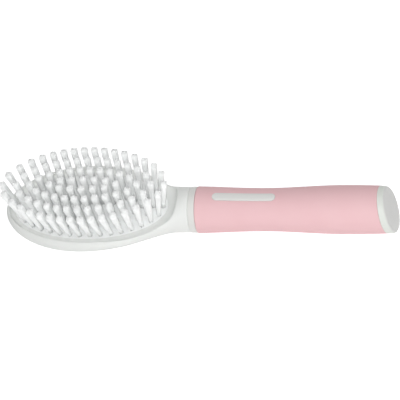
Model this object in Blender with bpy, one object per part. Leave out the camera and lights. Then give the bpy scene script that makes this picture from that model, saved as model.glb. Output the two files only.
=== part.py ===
"""Cat grooming brush, lying on its back with the bristles up.

An oval paddle head with a sunken bristle field is carried on a round, softly
waisted handle. +X runs from the head's tip to the handle's end, +Z is the way
the bristles point, and z = 0 is the surface that the brush lies on.
Lengths below are in millimetres and angles in degrees.
"""

import math
import random

import bmesh
import bpy

MM = 0.001
GAP = 0.3                    # clearance kept between neighbouring pieces

# Handle line and outline
AXIS_Z = 13.25               # height of the handle's axis
NECK_RADIUS = 12.55
NECK_END_X = -3.25           # the neck's flat end face
COLLAR_FRONT_X = -2.95
COLLAR_REAR_X = 0.3
COLLAR_EDGE = 0.25           # broken edges of the collar
COLLAR_PROUD = 0.15          # the collar stands this far over the neck
SLEEVE_FRONT_X = 0.6
SLEEVE_REAR_X = 102.2
SLEEVE_REAR_TILT = 13.2      # the sleeve's rear end leans, top nearer the head
SLEEVE_LEAN_START = 0.75     # share of the sleeve's length where its rings start to lean
SLEEVE_ROUNDING = 0.9        # round of the sleeve's front edge
SLEEVE_REAR_EDGE = 0.4       # broken rear edge
SLEEVE_WALL = 2.4
END_FACE_X = 106.27
END_FACE_TILT = 16.6
END_RADIUS = 12.65
END_ROUNDING = 1.3
# The grip's radius eases from one of these to the next: crest, waist, bulge, tail.
GRIP_KNOTS = ((-6.0, 12.98), (37.5, 11.8), (81.5, 13.25), (118.0, 12.7))

# Head outline
HEAD_CENTRE_X = -60.35
HEAD_HALF_LENGTH = 49.35
HEAD_HALF_WIDTH = 28.4
RIM_Z = 15.2                 # height of the head's widest outline
RIM_ROUND = 4.2              # above it the rim is a quarter round of this radius
NECK_SIDE_POWER = 1.92       # the oval narrows a little faster on its way to the neck
BACK_DEPTH = 15.95           # drop of the domed back, pressed flat at z = 0
BACK_FULLNESS = 2.3          # superellipse power of the back seen from the side
BACK_LEAN = 0.42             # how much the section under the rim is drawn in towards a keel
# Shares of the half length between which the keel comes in, and between which it fades again.
KEEL_IN = (-0.7, 0.35)
KEEL_OUT = (0.6, 1.05)
OUTLINE_BLEND = 2.4          # how softly the oval runs into the neck
NECK_FLARE = 0.7             # extra half width of the neck where it leaves the oval
SHOULDER_START_X = -20.0     # the top surface climbs from the rim to the neck
SHOULDER_END_X = -4.5
WIDEST_SINKS_X = -30.7       # from here the widest outline sinks to the handle's axis

# Bristle field
FIELD_HALF_LENGTH = 43.9     # the plate's own oval
FIELD_HALF_WIDTH = 21.6
FIELD_Z = 16.5               # face that the tufts stand on
SLICE_THICKNESS = 1.2
PLATE_THICKNESS = 3.0
PLATE_CHAMFER = 0.5
# The shell rises round the field in a hollow curve, which opens widest towards the neck.
SCOOP_HEIGHT = 6.0
SCOOP_NECK = 6.0             # how far the curve spreads at the neck, the tip and the sides
SCOOP_TIP = 3.0
SCOOP_SIDE = 3.5
SCOOP_STEEPNESS = 3.0        # power that keeps it low and then steep at the tip and the sides
SCOOP_BLUNT = 0.5            # added to the power of its oval on the neck's side
# Each ring of tufts from outside in: half length, half width, number of tufts and power of its oval.
RINGS = (("tuft_ring_outer", 41.6, 19.5, 34, 2.0),
         ("tuft_ring_second", 35.8, 13.85, 28, 1.95),
         ("tuft_ring_third", 29.3, 8.2, 22, 1.8),
         ("tuft_ring_inner", 18.7, 2.7, 12, 2.0))
TUFT_LENGTH = 22.0
TUFT_LENGTH_SPREAD = 0.4     # ragged ends
FAN = 11.4                   # lean of the outermost tufts, to the sides and the neck
FAN_TIP = 12.5               # lean of the outermost tufts at the head's tip
# Lengthwise, only the tufts near the ends lean much: powers of the lean towards the neck and the tip.
FAN_NECK_POWER = 3
FAN_TIP_POWER = 5
STRANDS_PER_TUFT = 4
STRAND_SIDES = 3
STRAND_RADIUS_ROOT = 0.58
STRAND_RADIUS_TIP = 0.56
STRAND_SPACING_ROOT = 0.85   # from the tuft's middle to a strand's middle
STRAND_SPACING_TIP = 1.35

# Inside of the head
LEDGE_WIDTH = 2.5
# Pocket under the plate: half length, half width and height, from floor to ledge.
POCKET_LEVELS = ((28.5, 9.4, 2.6), (33.5, 14.6, 3.6), (38.0, 17.9, 6.2))
RIB_THICKNESS = 1.8
RIB_DROP = 0.6               # ribs and bosses stop this far under the plate
RIB_STATIONS = (-22.0, 0.0, 22.0)
BOSS_OVER_RIB = 0.3          # the bosses rise this far above the ribs
BOSS_SPREAD_X = 22.0
BOSS_SPREAD_Y = 11.0
BOSS_RADIUS = 3.4
PEG_RADIUS = 1.6
PEG_ROOT = 1.0               # how far a peg reaches up into its plate
PEG_LENGTH = 5.0
PEG_HOLE_DEPTH = 6.2

# Joint between head and handle
TANG_RADIUS = 7.7
TANG_ROOT = 2.0              # how far the tang reaches into the neck
TANG_ROUND_END_X = 4.0
TANG_END_X = 26.0
TANG_WEB = 2.8
TANG_WEB_SHY = 0.15          # the webs stop this far inside the tang's radius
TANG_DISC = 2.0
BARB_X = (17.6, 21.2)
BARB_HALF_WIDTH = 1.3
BARB_RISE = 1.0
BARB_ROOT = 1.0              # how far a barb reaches into the tang
BARB_TOE = 0.3               # its low end starts this far under the tang's surface

# Handle core
CORE_SOCKET_END_X = 28.0
CORE_WAIST_BORE = 7.3
CORE_REAR_BORE = 9.2
CORE_REAR_BORE_X = 84.0
CORE_BORE_TAPER = 2.0        # length of the cone between the two bores
CORE_REAR_INSET = 1.0        # the core stops this far inside the sleeve's rear end
BARB_WINDOW_SPARE = 0.5      # room above and below each barb in its window
COLLAR_SPIGOT_RADIUS = 9.0
COLLAR_SPIGOT_LENGTH = 2.2
KEY_WIDTH = 3.0
KEY_RISE = 0.8
KEY_ROOT = 0.8
KEY_SPAN_X = (50.0, 92.0)

# Inlay on the grip's top
INLAY_X = (10.0, 44.6)
INLAY_WIDTH = 4.9
INLAY_PROUD = 0.5            # it stands this far over the sleeve
INLAY_PEG_RADIUS = 1.1
INLAY_PEG_INSET = 7.0        # from the inlay's ends
INLAY_PEG_ROOT = 0.5         # how far a peg reaches up into the inlay
INLAY_PEG_LENGTH = 1.8

# End cap
CAP_SEAM_EDGE = 0.35         # broken edge beside the sleeve
CAP_SHY = 0.05               # the cap starts this far under the sleeve's surface
CAP_FLOOR = 2.4              # thickness of the end face
PLUG_LENGTH = 12.0
PLUG_WALL = 1.8
PLUG_BEAD = 0.2              # rise of the bead that grips the core's bore
PLUG_BEAD_MIDDLE = 2.0       # from the plug's end
PLUG_BEAD_SPREAD = 1.0
PLUG_LEAD = 0.6              # taper of the plug's end

# Facets
ROUND_SIDES = 40
OVAL_SIDES = 40
DISH_SIDES = 64
SECTION_SIDES = 40
ROUNDING_STEPS = 4
SCOOP_STEPS = 5
OVAL_STATIONS = 20           # head sections from the tip, close together there
OVAL_END_X = -28.9
NECK_STATIONS = 13           # even sections from there to the neck's end
CORE_STATIONS = 9
KEY_STATIONS = 6
SLEEVE_STATIONS = 13
BORE_STATIONS = 7
INLAY_STATIONS = 8
OUTLINE_SAMPLES = 720        # points used to measure along a ring of tufts
PIN_SIDES = 16
BAR_SIDES = 32
CAPSULE_ARC_STEPS = 8
SMOOTH_ANGLE = 32.0

# Colour, roughness and metallic value of each sub-part
WHITE_PLASTIC = ((0.80, 0.82, 0.80), 0.38, 0.0)
OFF_WHITE_PLASTIC = ((0.76, 0.77, 0.74), 0.42, 0.0)
CLEAR_NYLON = ((0.83, 0.86, 0.87), 0.30, 0.0)
PINK_RUBBER = ((0.85, 0.58, 0.60), 0.62, 0.0)
PALE_INLAY = ((0.74, 0.76, 0.74), 0.45, 0.0)
CORE_PLASTIC = ((0.70, 0.70, 0.68), 0.50, 0.0)
CAP_PLASTIC = ((0.76, 0.80, 0.76), 0.40, 0.0)


def clear_scene():
    for scene_object in list(bpy.data.objects):
        bpy.data.objects.remove(scene_object, do_unlink=True)


def make_material(name, finish):
    colour, roughness, metallic = finish
    material = bpy.data.materials.new(name + "_material")
    material.use_nodes = True
    shader = material.node_tree.nodes["Principled BSDF"]
    shader.inputs["Base Color"].default_value = (*colour, 1.0)
    shader.inputs["Roughness"].default_value = roughness
    shader.inputs["Metallic"].default_value = metallic
    return material


def mesh_object(name, points, faces):
    """A new object from points in millimetres, its quads split in two and its faces outwards."""
    mesh = bpy.data.meshes.new(name)
    mesh.from_pydata([[value * MM for value in point] for point in points], [], faces)
    edit = bmesh.new()
    edit.from_mesh(mesh)
    bmesh.ops.recalc_face_normals(edit, faces=edit.faces)
    bmesh.ops.triangulate(edit, faces=[face for face in edit.faces if len(face.verts) == 4])
    edit.to_mesh(mesh)
    edit.free()
    made = bpy.data.objects.new(name, mesh)
    bpy.context.scene.collection.objects.link(made)
    return made


def skin(name, rings, loop=False):
    """Loft a closed body over rings of points. Its ends are capped, or joined when loop is true."""
    points = [point for ring in rings for point in ring]
    starts = []
    total = 0
    for ring in rings:
        starts.append(total)
        total += len(ring)
    faces = []
    pairs = list(zip(range(len(rings)), range(1, len(rings))))
    if loop:
        pairs.append((len(rings) - 1, 0))
    for first, second in pairs:
        faces.extend(band_faces(starts[first], len(rings[first]), starts[second], len(rings[second])))
    if not loop:
        for start, ring in ((starts[0], rings[0]), (starts[-1], rings[-1])):
            if len(ring) > 1:
                faces.append([start + index for index in range(len(ring))])
    return mesh_object(name, points, faces)


def band_faces(start_a, count_a, start_b, count_b):
    """Faces between two rings, either of which may be a single point."""
    count = max(count_a, count_b)
    faces = []
    for index in range(count):
        following = (index + 1) % count
        if count_a == 1:
            faces.append((start_a, start_b + index, start_b + following))
        elif count_b == 1:
            faces.append((start_a + index, start_b, start_a + following))
        else:
            faces.append((start_a + index, start_b + index, start_b + following, start_a + following))
    return faces


def round_ring(x, radius, tilt=0.0):
    """A circle round the handle's axis. Tilt leans its plane, top nearer the head."""
    lean = math.tan(math.radians(tilt))
    ring = []
    for index in range(ROUND_SIDES):
        angle = 2.0 * math.pi * index / ROUND_SIDES
        across = radius * math.cos(angle)
        rise = radius * math.sin(angle)
        ring.append((x - rise * lean, across, AXIS_Z + rise))
    return ring


def superellipse(half_width, half_height, angle, power=2.0):
    """One point of an oval that gets squarer as power rises above 2, and leaner below it."""
    across = math.cos(angle)
    rise = math.sin(angle)
    reach = (abs(across) ** power + abs(rise) ** power) ** (-1.0 / power)
    return half_width * reach * across, half_height * reach * rise


def oval_ring(half_length, half_width, z, power=2.0, sides=OVAL_SIDES):
    ring = []
    for index in range(sides):
        angle = 2.0 * math.pi * index / sides
        along, across = superellipse(half_length, half_width, angle, power)
        ring.append((HEAD_CENTRE_X + along, across, z))
    return ring


def cylinder(name, start, end, radius, sides=PIN_SIDES):
    """A round bar between two points in millimetres that differ along one axis."""
    axis = max(range(3), key=lambda index: abs(end[index] - start[index]))
    side_a, side_b = [index for index in range(3) if index != axis]
    rings = []
    for centre in (start, end):
        ring = []
        for index in range(sides):
            angle = 2.0 * math.pi * index / sides
            point = list(centre)
            point[side_a] += radius * math.cos(angle)
            point[side_b] += radius * math.sin(angle)
            ring.append(point)
        rings.append(ring)
    return skin(name, rings)


def block(name, low, high):
    """A box between two corners in millimetres."""
    lower = [(low[0], low[1], low[2]), (high[0], low[1], low[2]),
             (high[0], high[1], low[2]), (low[0], high[1], low[2])]
    upper = [(x, y, high[2]) for x, y, _ in lower]
    return skin(name, [lower, upper])


def combine(target, tool, operation):
    """Boolean the tool into the target and remove the tool."""
    modifier = target.modifiers.new(operation.title(), "BOOLEAN")
    modifier.operation = operation
    modifier.object = tool
    evaluated = target.evaluated_get(bpy.context.evaluated_depsgraph_get())
    mesh = bpy.data.meshes.new_from_object(evaluated)
    target.modifiers.clear()
    target.data = mesh
    bpy.data.objects.remove(tool, do_unlink=True)


def finish_piece(piece, finish):
    piece.data.name = piece.name
    piece.data.materials.clear()
    piece.data.materials.append(make_material(piece.name, finish))
    piece.data.shade_smooth()
    piece.data.set_sharp_from_angle(angle=math.radians(SMOOTH_ANGLE))


def ease(value, start, end):
    """Smooth step from 0 at start to 1 at end."""
    step = min(max((value - start) / (end - start), 0.0), 1.0)
    return step * step * (3.0 - 2.0 * step)


def blend(first, second, share):
    return first + (second - first) * share


def rounding_angles():
    """Angles from 0 to a quarter turn, for a rounded edge."""
    return [0.5 * math.pi * step / ROUNDING_STEPS for step in range(ROUNDING_STEPS + 1)]


def grip_radius(x):
    """The grip's radius: a cosine from each knot to the next."""
    for (start, radius_a), (end, radius_b) in zip(GRIP_KNOTS, GRIP_KNOTS[1:]):
        if x <= end:
            share = 0.5 - 0.5 * math.cos(math.pi * (x - start) / (end - start))
            return blend(radius_a, radius_b, share)
    return GRIP_KNOTS[-1][1]


def half_width_at(x):
    """Half the head's width at this place along it."""
    reach = (x - HEAD_CENTRE_X) / HEAD_HALF_LENGTH
    if reach < 0.0:
        return HEAD_HALF_WIDTH * math.sqrt(max(0.0, 1.0 - reach * reach))
    left_over = max(0.0, 1.0 - reach ** NECK_SIDE_POWER)
    neck_width = NECK_RADIUS + NECK_FLARE * (1.0 - ease(x, SHOULDER_START_X, NECK_END_X))
    excess = (HEAD_HALF_WIDTH * left_over ** (1.0 / NECK_SIDE_POWER) - neck_width) / OUTLINE_BLEND
    return neck_width + OUTLINE_BLEND * math.log1p(math.exp(excess))


def rim_share(x, y):
    """Height of the rounded rim above a point of the head's plan, from 0 at the outline to 1."""
    reach = (x - HEAD_CENTRE_X) / HEAD_HALF_LENGTH
    if reach < 0.0:
        across = y / HEAD_HALF_WIDTH
        outward = math.hypot(reach, across)
        steepness = math.hypot(reach / HEAD_HALF_LENGTH, across / HEAD_HALF_WIDTH)
        inward = (1.0 - outward) * outward / steepness
    else:
        slope = half_width_at(x + 0.5) - half_width_at(x - 0.5)
        inward = (half_width_at(x) - abs(y)) / math.hypot(1.0, slope)
    missing = 1.0 - min(max(inward / RIM_ROUND, 0.0), 1.0)
    return math.sqrt(1.0 - missing * missing)


def head_section(x):
    """One section of the head and neck across X, as a ring of points."""
    reach = (x - HEAD_CENTRE_X) / HEAD_HALF_LENGTH
    half_width = half_width_at(x)
    depth = BACK_DEPTH
    if reach < 0.0:
        depth *= max(0.0, 1.0 - abs(reach) ** BACK_FULLNESS) ** (1.0 / BACK_FULLNESS)
    shoulder = ease(x, SHOULDER_START_X, SHOULDER_END_X)
    widest_z = blend(RIM_Z, AXIS_Z, ease(x, WIDEST_SINKS_X, SHOULDER_END_X))
    top_z = blend(RIM_Z + RIM_ROUND, AXIS_Z + NECK_RADIUS, shoulder)
    bottom_z = blend(RIM_Z - depth, AXIS_Z - NECK_RADIUS, ease(x, HEAD_CENTRE_X, SHOULDER_START_X))
    lower_power = 2.0 - BACK_LEAN * ease(reach, *KEEL_IN) * (1.0 - ease(reach, *KEEL_OUT))
    ring = []
    for index in range(SECTION_SIDES):
        angle = 2.0 * math.pi * index / SECTION_SIDES
        if 2 * index < SECTION_SIDES:
            y = half_width * math.cos(angle)
            rise = (top_z - widest_z) * blend(rim_share(x, y), math.sin(angle), shoulder)
        else:
            y, rise = superellipse(half_width, widest_z - bottom_z, angle, lower_power)
        ring.append((x, y, max(widest_z + rise, 0.0)))
    return ring


def build_head_shell():
    """Oval dish, neck and tang in one moulding."""
    rings = [[(HEAD_CENTRE_X - HEAD_HALF_LENGTH, 0.0, RIM_Z)]]
    last_angle = math.acos((HEAD_CENTRE_X - OVAL_END_X) / HEAD_HALF_LENGTH)
    for step in range(1, OVAL_STATIONS + 1):
        angle = last_angle * step / OVAL_STATIONS
        rings.append(head_section(HEAD_CENTRE_X - HEAD_HALF_LENGTH * math.cos(angle)))
    for step in range(1, NECK_STATIONS + 1):
        rings.append(head_section(blend(OVAL_END_X, NECK_END_X, step / NECK_STATIONS)))
    shell = skin("head_shell", rings)
    combine(shell, build_recess_cutter(), "DIFFERENCE")
    add_tang(shell)
    finish_piece(shell, WHITE_PLASTIC)


def plate_top():
    return FIELD_Z - SLICE_THICKNESS - GAP


def ledge_height():
    return plate_top() - PLATE_THICKNESS - GAP


def boss_places():
    return [(HEAD_CENTRE_X + side * BOSS_SPREAD_X, flank * BOSS_SPREAD_Y)
            for side in (-1, 1) for flank in (-1, 1)]


def scoop_ring(spread, z):
    """One level of the hollow curve round the field, where it has spread this share of its way."""
    quick = 1.0 - (1.0 - spread) ** SCOOP_STEEPNESS
    neck_reach = SCOOP_NECK * spread
    tip_reach = SCOOP_TIP * quick
    middle_x = HEAD_CENTRE_X + 0.5 * (neck_reach - tip_reach)
    half_length = FIELD_HALF_LENGTH + GAP + 0.5 * (neck_reach + tip_reach)
    half_width = FIELD_HALF_WIDTH + GAP + SCOOP_SIDE * quick
    ring = []
    for index in range(DISH_SIDES):
        angle = 2.0 * math.pi * index / DISH_SIDES
        power = 2.0 + SCOOP_BLUNT * spread if math.cos(angle) > 0.0 else 2.0
        along, across = superellipse(half_length, half_width, angle, power)
        ring.append((middle_x + along, across, z))
    return ring


def build_recess_cutter():
    """What the head lacks: the pocket, the plate's seat and the hollow curve round the field."""
    seat_length = FIELD_HALF_LENGTH + GAP
    seat_width = FIELD_HALF_WIDTH + GAP
    ledge_z = ledge_height()
    above_all = AXIS_Z + 2.0 * NECK_RADIUS
    rings = [oval_ring(*level, sides=DISH_SIDES) for level in POCKET_LEVELS]
    rings.append(oval_ring(seat_length - LEDGE_WIDTH, seat_width - LEDGE_WIDTH, ledge_z, sides=DISH_SIDES))
    rings.append(oval_ring(seat_length, seat_width, ledge_z, sides=DISH_SIDES))
    for step in range(SCOOP_STEPS + 1):
        angle = 0.5 * math.pi * step / SCOOP_STEPS
        rise = SCOOP_HEIGHT * (1.0 - math.cos(angle))
        rings.append(scoop_ring(math.sin(angle), FIELD_Z + rise))
    rings.append(scoop_ring(1.0, above_all))
    cutter = skin("recess_cutter", rings)
    combine(cutter, build_ribs_and_bosses(), "DIFFERENCE")
    for x, y in boss_places():
        hole = cylinder("hole", (x, y, ledge_z), (x, y, ledge_z - PEG_HOLE_DEPTH), PEG_RADIUS + GAP)
        combine(cutter, hole, "UNION")
    return cutter


def build_ribs_and_bosses():
    """A spine, cross ribs and four bosses, which stay standing in the pocket under the plate."""
    rib_top = ledge_height() - RIB_DROP
    half_rib = 0.5 * RIB_THICKNESS
    stagger = 0.01               # keeps the faces of crossing ribs from coinciding
    ribs = block("ribs", (HEAD_CENTRE_X - HEAD_HALF_LENGTH, -half_rib, -RIB_THICKNESS),
                 (HEAD_CENTRE_X + HEAD_HALF_LENGTH, half_rib, rib_top))
    for station in RIB_STATIONS:
        middle = HEAD_CENTRE_X + station
        rib = block("rib", (middle - half_rib, -HEAD_HALF_WIDTH, -RIB_THICKNESS - stagger),
                    (middle + half_rib, HEAD_HALF_WIDTH, rib_top - stagger))
        combine(ribs, rib, "UNION")
    for x, y in boss_places():
        boss = cylinder("boss", (x, y, -2.0 * RIB_THICKNESS), (x, y, rib_top + BOSS_OVER_RIB), BOSS_RADIUS)
        combine(ribs, boss, "UNION")
    return ribs


def add_tang(shell):
    """Round root, cross-shaped stem, end disc and two snap barbs."""
    root = cylinder("root", (NECK_END_X - TANG_ROOT, 0.0, AXIS_Z), (TANG_ROUND_END_X, 0.0, AXIS_Z),
                    TANG_RADIUS, sides=BAR_SIDES)
    combine(shell, root, "UNION")
    half_web = 0.5 * TANG_WEB
    reach = TANG_RADIUS - TANG_WEB_SHY
    stagger = 0.2                # keeps the ends of the two webs from coinciding
    start_x = TANG_ROUND_END_X - 0.5 * TANG_DISC
    end_x = TANG_END_X - 0.5 * TANG_DISC
    upright = block("upright", (start_x, -half_web, AXIS_Z - reach), (end_x, half_web, AXIS_Z + reach))
    level = block("level", (start_x - stagger, -reach, AXIS_Z - half_web),
                  (end_x + stagger, reach, AXIS_Z + half_web))
    combine(upright, level, "UNION")
    combine(shell, upright, "UNION")
    disc = cylinder("disc", (TANG_END_X - TANG_DISC, 0.0, AXIS_Z), (TANG_END_X, 0.0, AXIS_Z),
                    TANG_RADIUS, sides=BAR_SIDES)
    combine(shell, disc, "UNION")
    for side in (-1, 1):
        combine(shell, build_barb(side), "UNION")


def build_barb(side):
    """A wedge that rises away from the tang's end, with a square back that holds."""
    front_x, rear_x = BARB_X
    inner = side * (TANG_RADIUS - BARB_ROOT)
    rings = []
    for z in (AXIS_Z - BARB_HALF_WIDTH, AXIS_Z + BARB_HALF_WIDTH):
        rings.append([(front_x, inner, z), (rear_x, inner, z),
                      (rear_x, side * (TANG_RADIUS - BARB_TOE), z),
                      (front_x, side * (TANG_RADIUS + BARB_RISE), z)])
    return skin("barb", rings)


def build_bristle_plate():
    """Oval carrier on the shell's ledge, with four pegs in the shell's bosses."""
    top = plate_top()
    bottom = top - PLATE_THICKNESS
    plate = skin("bristle_plate", [
        oval_ring(FIELD_HALF_LENGTH - PLATE_CHAMFER, FIELD_HALF_WIDTH - PLATE_CHAMFER, bottom),
        oval_ring(FIELD_HALF_LENGTH, FIELD_HALF_WIDTH, bottom + PLATE_CHAMFER),
        oval_ring(FIELD_HALF_LENGTH, FIELD_HALF_WIDTH, top),
    ])
    for x, y in boss_places():
        peg = cylinder("peg", (x, y, bottom + PEG_ROOT), (x, y, bottom - PEG_LENGTH), PEG_RADIUS)
        combine(plate, peg, "UNION")
    finish_piece(plate, OFF_WHITE_PLASTIC)


def ring_places(half_length, half_width, count, power):
    """Evenly spaced offsets along an oval, the first at the end nearest the handle."""
    outline = [superellipse(half_length, half_width, 2.0 * math.pi * index / OUTLINE_SAMPLES, power)
               for index in range(OUTLINE_SAMPLES + 1)]
    lengths = [0.0]
    for start, end in zip(outline, outline[1:]):
        lengths.append(lengths[-1] + math.dist(start, end))
    places = []
    index = 0
    for tuft in range(count):
        target = lengths[-1] * tuft / count
        while lengths[index + 1] < target:
            index += 1
        share = (target - lengths[index]) / (lengths[index + 1] - lengths[index])
        places.append([blend(a, b, share) for a, b in zip(outline[index], outline[index + 1])])
    return places


def tuft_direction(along, across):
    """The way a tuft points: straight up in the middle, fanned outwards towards the rim."""
    _, half_length, half_width, _, _ = RINGS[0]
    fan_along, power = (FAN, FAN_NECK_POWER) if along > 0.0 else (FAN_TIP, FAN_TIP_POWER)
    slope_x = math.tan(math.radians(fan_along * (along / half_length) ** power))
    slope_y = math.tan(math.radians(FAN * across / half_width))
    length = math.sqrt(slope_x * slope_x + slope_y * slope_y + 1.0)
    return slope_x / length, slope_y / length, 1.0 / length


def strand_rings(along, across, turn, length):
    """Root and tip rings of one strand of the tuft that stands at this offset."""
    lean = tuft_direction(along, across)
    rings = []
    for travel, spacing, radius in ((0.0, STRAND_SPACING_ROOT, STRAND_RADIUS_ROOT),
                                    (length, STRAND_SPACING_TIP, STRAND_RADIUS_TIP)):
        centre_x = HEAD_CENTRE_X + along + lean[0] * travel + spacing * math.cos(turn)
        centre_y = across + lean[1] * travel + spacing * math.sin(turn)
        ring = []
        for side in range(STRAND_SIDES):
            angle = turn + math.pi + 2.0 * math.pi * side / STRAND_SIDES
            ring.append((centre_x + radius * math.cos(angle), centre_y + radius * math.sin(angle),
                         FIELD_Z + lean[2] * travel))
        rings.append(ring)
    return rings


def tuft_strands(half_length, half_width, count, power, chance):
    """Root and tip rings of every strand in one oval of tufts."""
    strands = []
    for along, across in ring_places(half_length, half_width, count, power):
        twist = chance.uniform(0.0, 0.5 * math.pi)
        for strand in range(STRANDS_PER_TUFT):
            turn = twist + 2.0 * math.pi * strand / STRANDS_PER_TUFT
            length = TUFT_LENGTH + chance.uniform(-TUFT_LENGTH_SPREAD, TUFT_LENGTH_SPREAD)
            strands.append(strand_rings(along, across, turn, length))
    return strands


def add_ring(edit, ring):
    return [edit.verts.new([value * MM for value in point]) for point in ring]


def add_band(edit, lower, upper):
    """Quads between two rings of vertices, split in two."""
    faces = []
    for index in range(len(lower)):
        following = (index + 1) % len(lower)
        faces.append(edit.faces.new((lower[index], lower[following], upper[following], upper[index])))
    bmesh.ops.triangulate(edit, faces=faces)


def loop_edges(edit, ring):
    return [edit.edges.get(pair) or edit.edges.new(pair) for pair in zip(ring, ring[1:] + ring[:1])]


def build_tuft_slice(order, strands):
    """A slice of the plate's face with its strands standing on it, as one closed body."""
    name = RINGS[order][0]
    edit = bmesh.new()
    if order:
        outer_low, outer_top = [add_ring(edit, slice_edge(order, -1, z)) for z in slice_heights()]
    else:
        outer_low, outer_top = [add_ring(edit, oval_ring(FIELD_HALF_LENGTH, FIELD_HALF_WIDTH, z))
                                for z in slice_heights()]
    add_band(edit, outer_low, outer_top)
    rim = loop_edges(edit, outer_top)
    if order + 1 < len(RINGS):
        inner_low, inner_top = [add_ring(edit, slice_edge(order + 1, 1, z)) for z in slice_heights()]
        add_band(edit, inner_low, inner_top)
        add_band(edit, outer_low, inner_low)
        rim += loop_edges(edit, inner_top)
    else:
        edit.faces.new(outer_low)
    for root, tip in strands:
        root_ring = add_ring(edit, root)
        tip_ring = add_ring(edit, tip)
        add_band(edit, root_ring, tip_ring)
        edit.faces.new(tip_ring)
        rim += loop_edges(edit, root_ring)
    bmesh.ops.triangle_fill(edit, use_beauty=True, edges=rim, normal=(0.0, 0.0, 1.0))
    bmesh.ops.recalc_face_normals(edit, faces=edit.faces)
    mesh = bpy.data.meshes.new(name)
    edit.to_mesh(mesh)
    edit.free()
    made = bpy.data.objects.new(name, mesh)
    bpy.context.scene.collection.objects.link(made)
    return made


def build_tuft_rings():
    """Four nested ovals of tufts, each fused to its own slice of the plate's face."""
    chance = random.Random(11)
    for order, (_, half_length, half_width, count, power) in enumerate(RINGS):
        strands = tuft_strands(half_length, half_width, count, power, chance)
        finish_piece(build_tuft_slice(order, strands), CLEAR_NYLON)


def slice_heights():
    return FIELD_Z - SLICE_THICKNESS, FIELD_Z


def slice_edge(order, side, z):
    """The line between ring number order and the one outside it, on one side of the gap, at height z."""
    _, outer_length, outer_width, _, outer_power = RINGS[order - 1]
    _, inner_length, inner_width, _, inner_power = RINGS[order]
    spread = side * 0.5 * GAP
    return oval_ring(0.5 * (outer_length + inner_length) + spread, 0.5 * (outer_width + inner_width) + spread,
                     z, 0.5 * (outer_power + inner_power))


def core_radius(x):
    return grip_radius(x) - SLEEVE_WALL - GAP


def build_neck_collar():
    """Narrow ring between neck and grip, with a spigot that centres it in the core."""
    bore = TANG_RADIUS + GAP
    radius = NECK_RADIUS + COLLAR_PROUD
    spigot_x = COLLAR_REAR_X + COLLAR_SPIGOT_LENGTH
    collar = skin("neck_collar", [
        round_ring(COLLAR_FRONT_X, bore),
        round_ring(COLLAR_FRONT_X, radius - COLLAR_EDGE),
        round_ring(COLLAR_FRONT_X + COLLAR_EDGE, radius),
        round_ring(COLLAR_REAR_X - COLLAR_EDGE, radius),
        round_ring(COLLAR_REAR_X, radius - COLLAR_EDGE),
        round_ring(COLLAR_REAR_X, COLLAR_SPIGOT_RADIUS),
        round_ring(spigot_x, COLLAR_SPIGOT_RADIUS),
        round_ring(spigot_x, bore),
    ], loop=True)
    finish_piece(collar, OFF_WHITE_PLASTIC)


def build_handle_core():
    """Stiff tube under the sleeve: stepped bore, barb windows, keys and inlay holes."""
    socket = TANG_RADIUS + GAP
    counterbore = COLLAR_SPIGOT_RADIUS + GAP
    counterbore_x = COLLAR_REAR_X + COLLAR_SPIGOT_LENGTH + GAP
    rings = [round_ring(SLEEVE_FRONT_X, counterbore)]
    rear_x = SLEEVE_REAR_X - CORE_REAR_INSET
    for step in range(CORE_STATIONS + 1):
        x = blend(SLEEVE_FRONT_X, rear_x, step / CORE_STATIONS)
        tilt = SLEEVE_REAR_TILT if step == CORE_STATIONS else 0.0
        rings.append(round_ring(x, core_radius(x), tilt))
    rings.append(round_ring(rear_x, CORE_REAR_BORE, SLEEVE_REAR_TILT))
    rings.append(round_ring(CORE_REAR_BORE_X, CORE_REAR_BORE))
    rings.append(round_ring(CORE_REAR_BORE_X - CORE_BORE_TAPER, CORE_WAIST_BORE))
    rings.append(round_ring(CORE_SOCKET_END_X, CORE_WAIST_BORE))
    rings.append(round_ring(CORE_SOCKET_END_X, socket))
    rings.append(round_ring(counterbore_x, socket))
    rings.append(round_ring(counterbore_x, counterbore))
    core = skin("handle_core", rings, loop=True)
    inside = 0.5 * CORE_WAIST_BORE
    outside = NECK_RADIUS
    half_height = BARB_HALF_WIDTH + BARB_WINDOW_SPARE
    for side in (-1, 1):
        combine(core, build_key(side, 0.0), "UNION")
        near_y, far_y = sorted((side * inside, side * outside))
        window = block("window", (BARB_X[0] - GAP, near_y, AXIS_Z - half_height),
                       (BARB_X[1] + GAP, far_y, AXIS_Z + half_height))
        combine(core, window, "DIFFERENCE")
    for x in inlay_peg_places():
        hole = cylinder("hole", (x, 0.0, AXIS_Z + inside), (x, 0.0, AXIS_Z + outside), INLAY_PEG_RADIUS + GAP)
        combine(core, hole, "DIFFERENCE")
    finish_piece(core, CORE_PLASTIC)


def build_key(side, clearance):
    """A long rib on the core's flank that stops the sleeve turning, or the groove for it."""
    half_width = 0.5 * KEY_WIDTH + clearance
    rings = []
    for step in range(KEY_STATIONS + 1):
        share = step / KEY_STATIONS
        x = blend(KEY_SPAN_X[0] - clearance, KEY_SPAN_X[1] + clearance, share)
        inner = side * (core_radius(x) - KEY_ROOT)
        outer = side * (core_radius(x) + KEY_RISE + clearance)
        rings.append([(x, inner, AXIS_Z - half_width), (x, outer, AXIS_Z - half_width),
                      (x, outer, AXIS_Z + half_width), (x, inner, AXIS_Z + half_width)])
    return skin("key", rings)


def inlay_peg_places():
    return INLAY_X[0] + INLAY_PEG_INSET, INLAY_X[1] - INLAY_PEG_INSET


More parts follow.
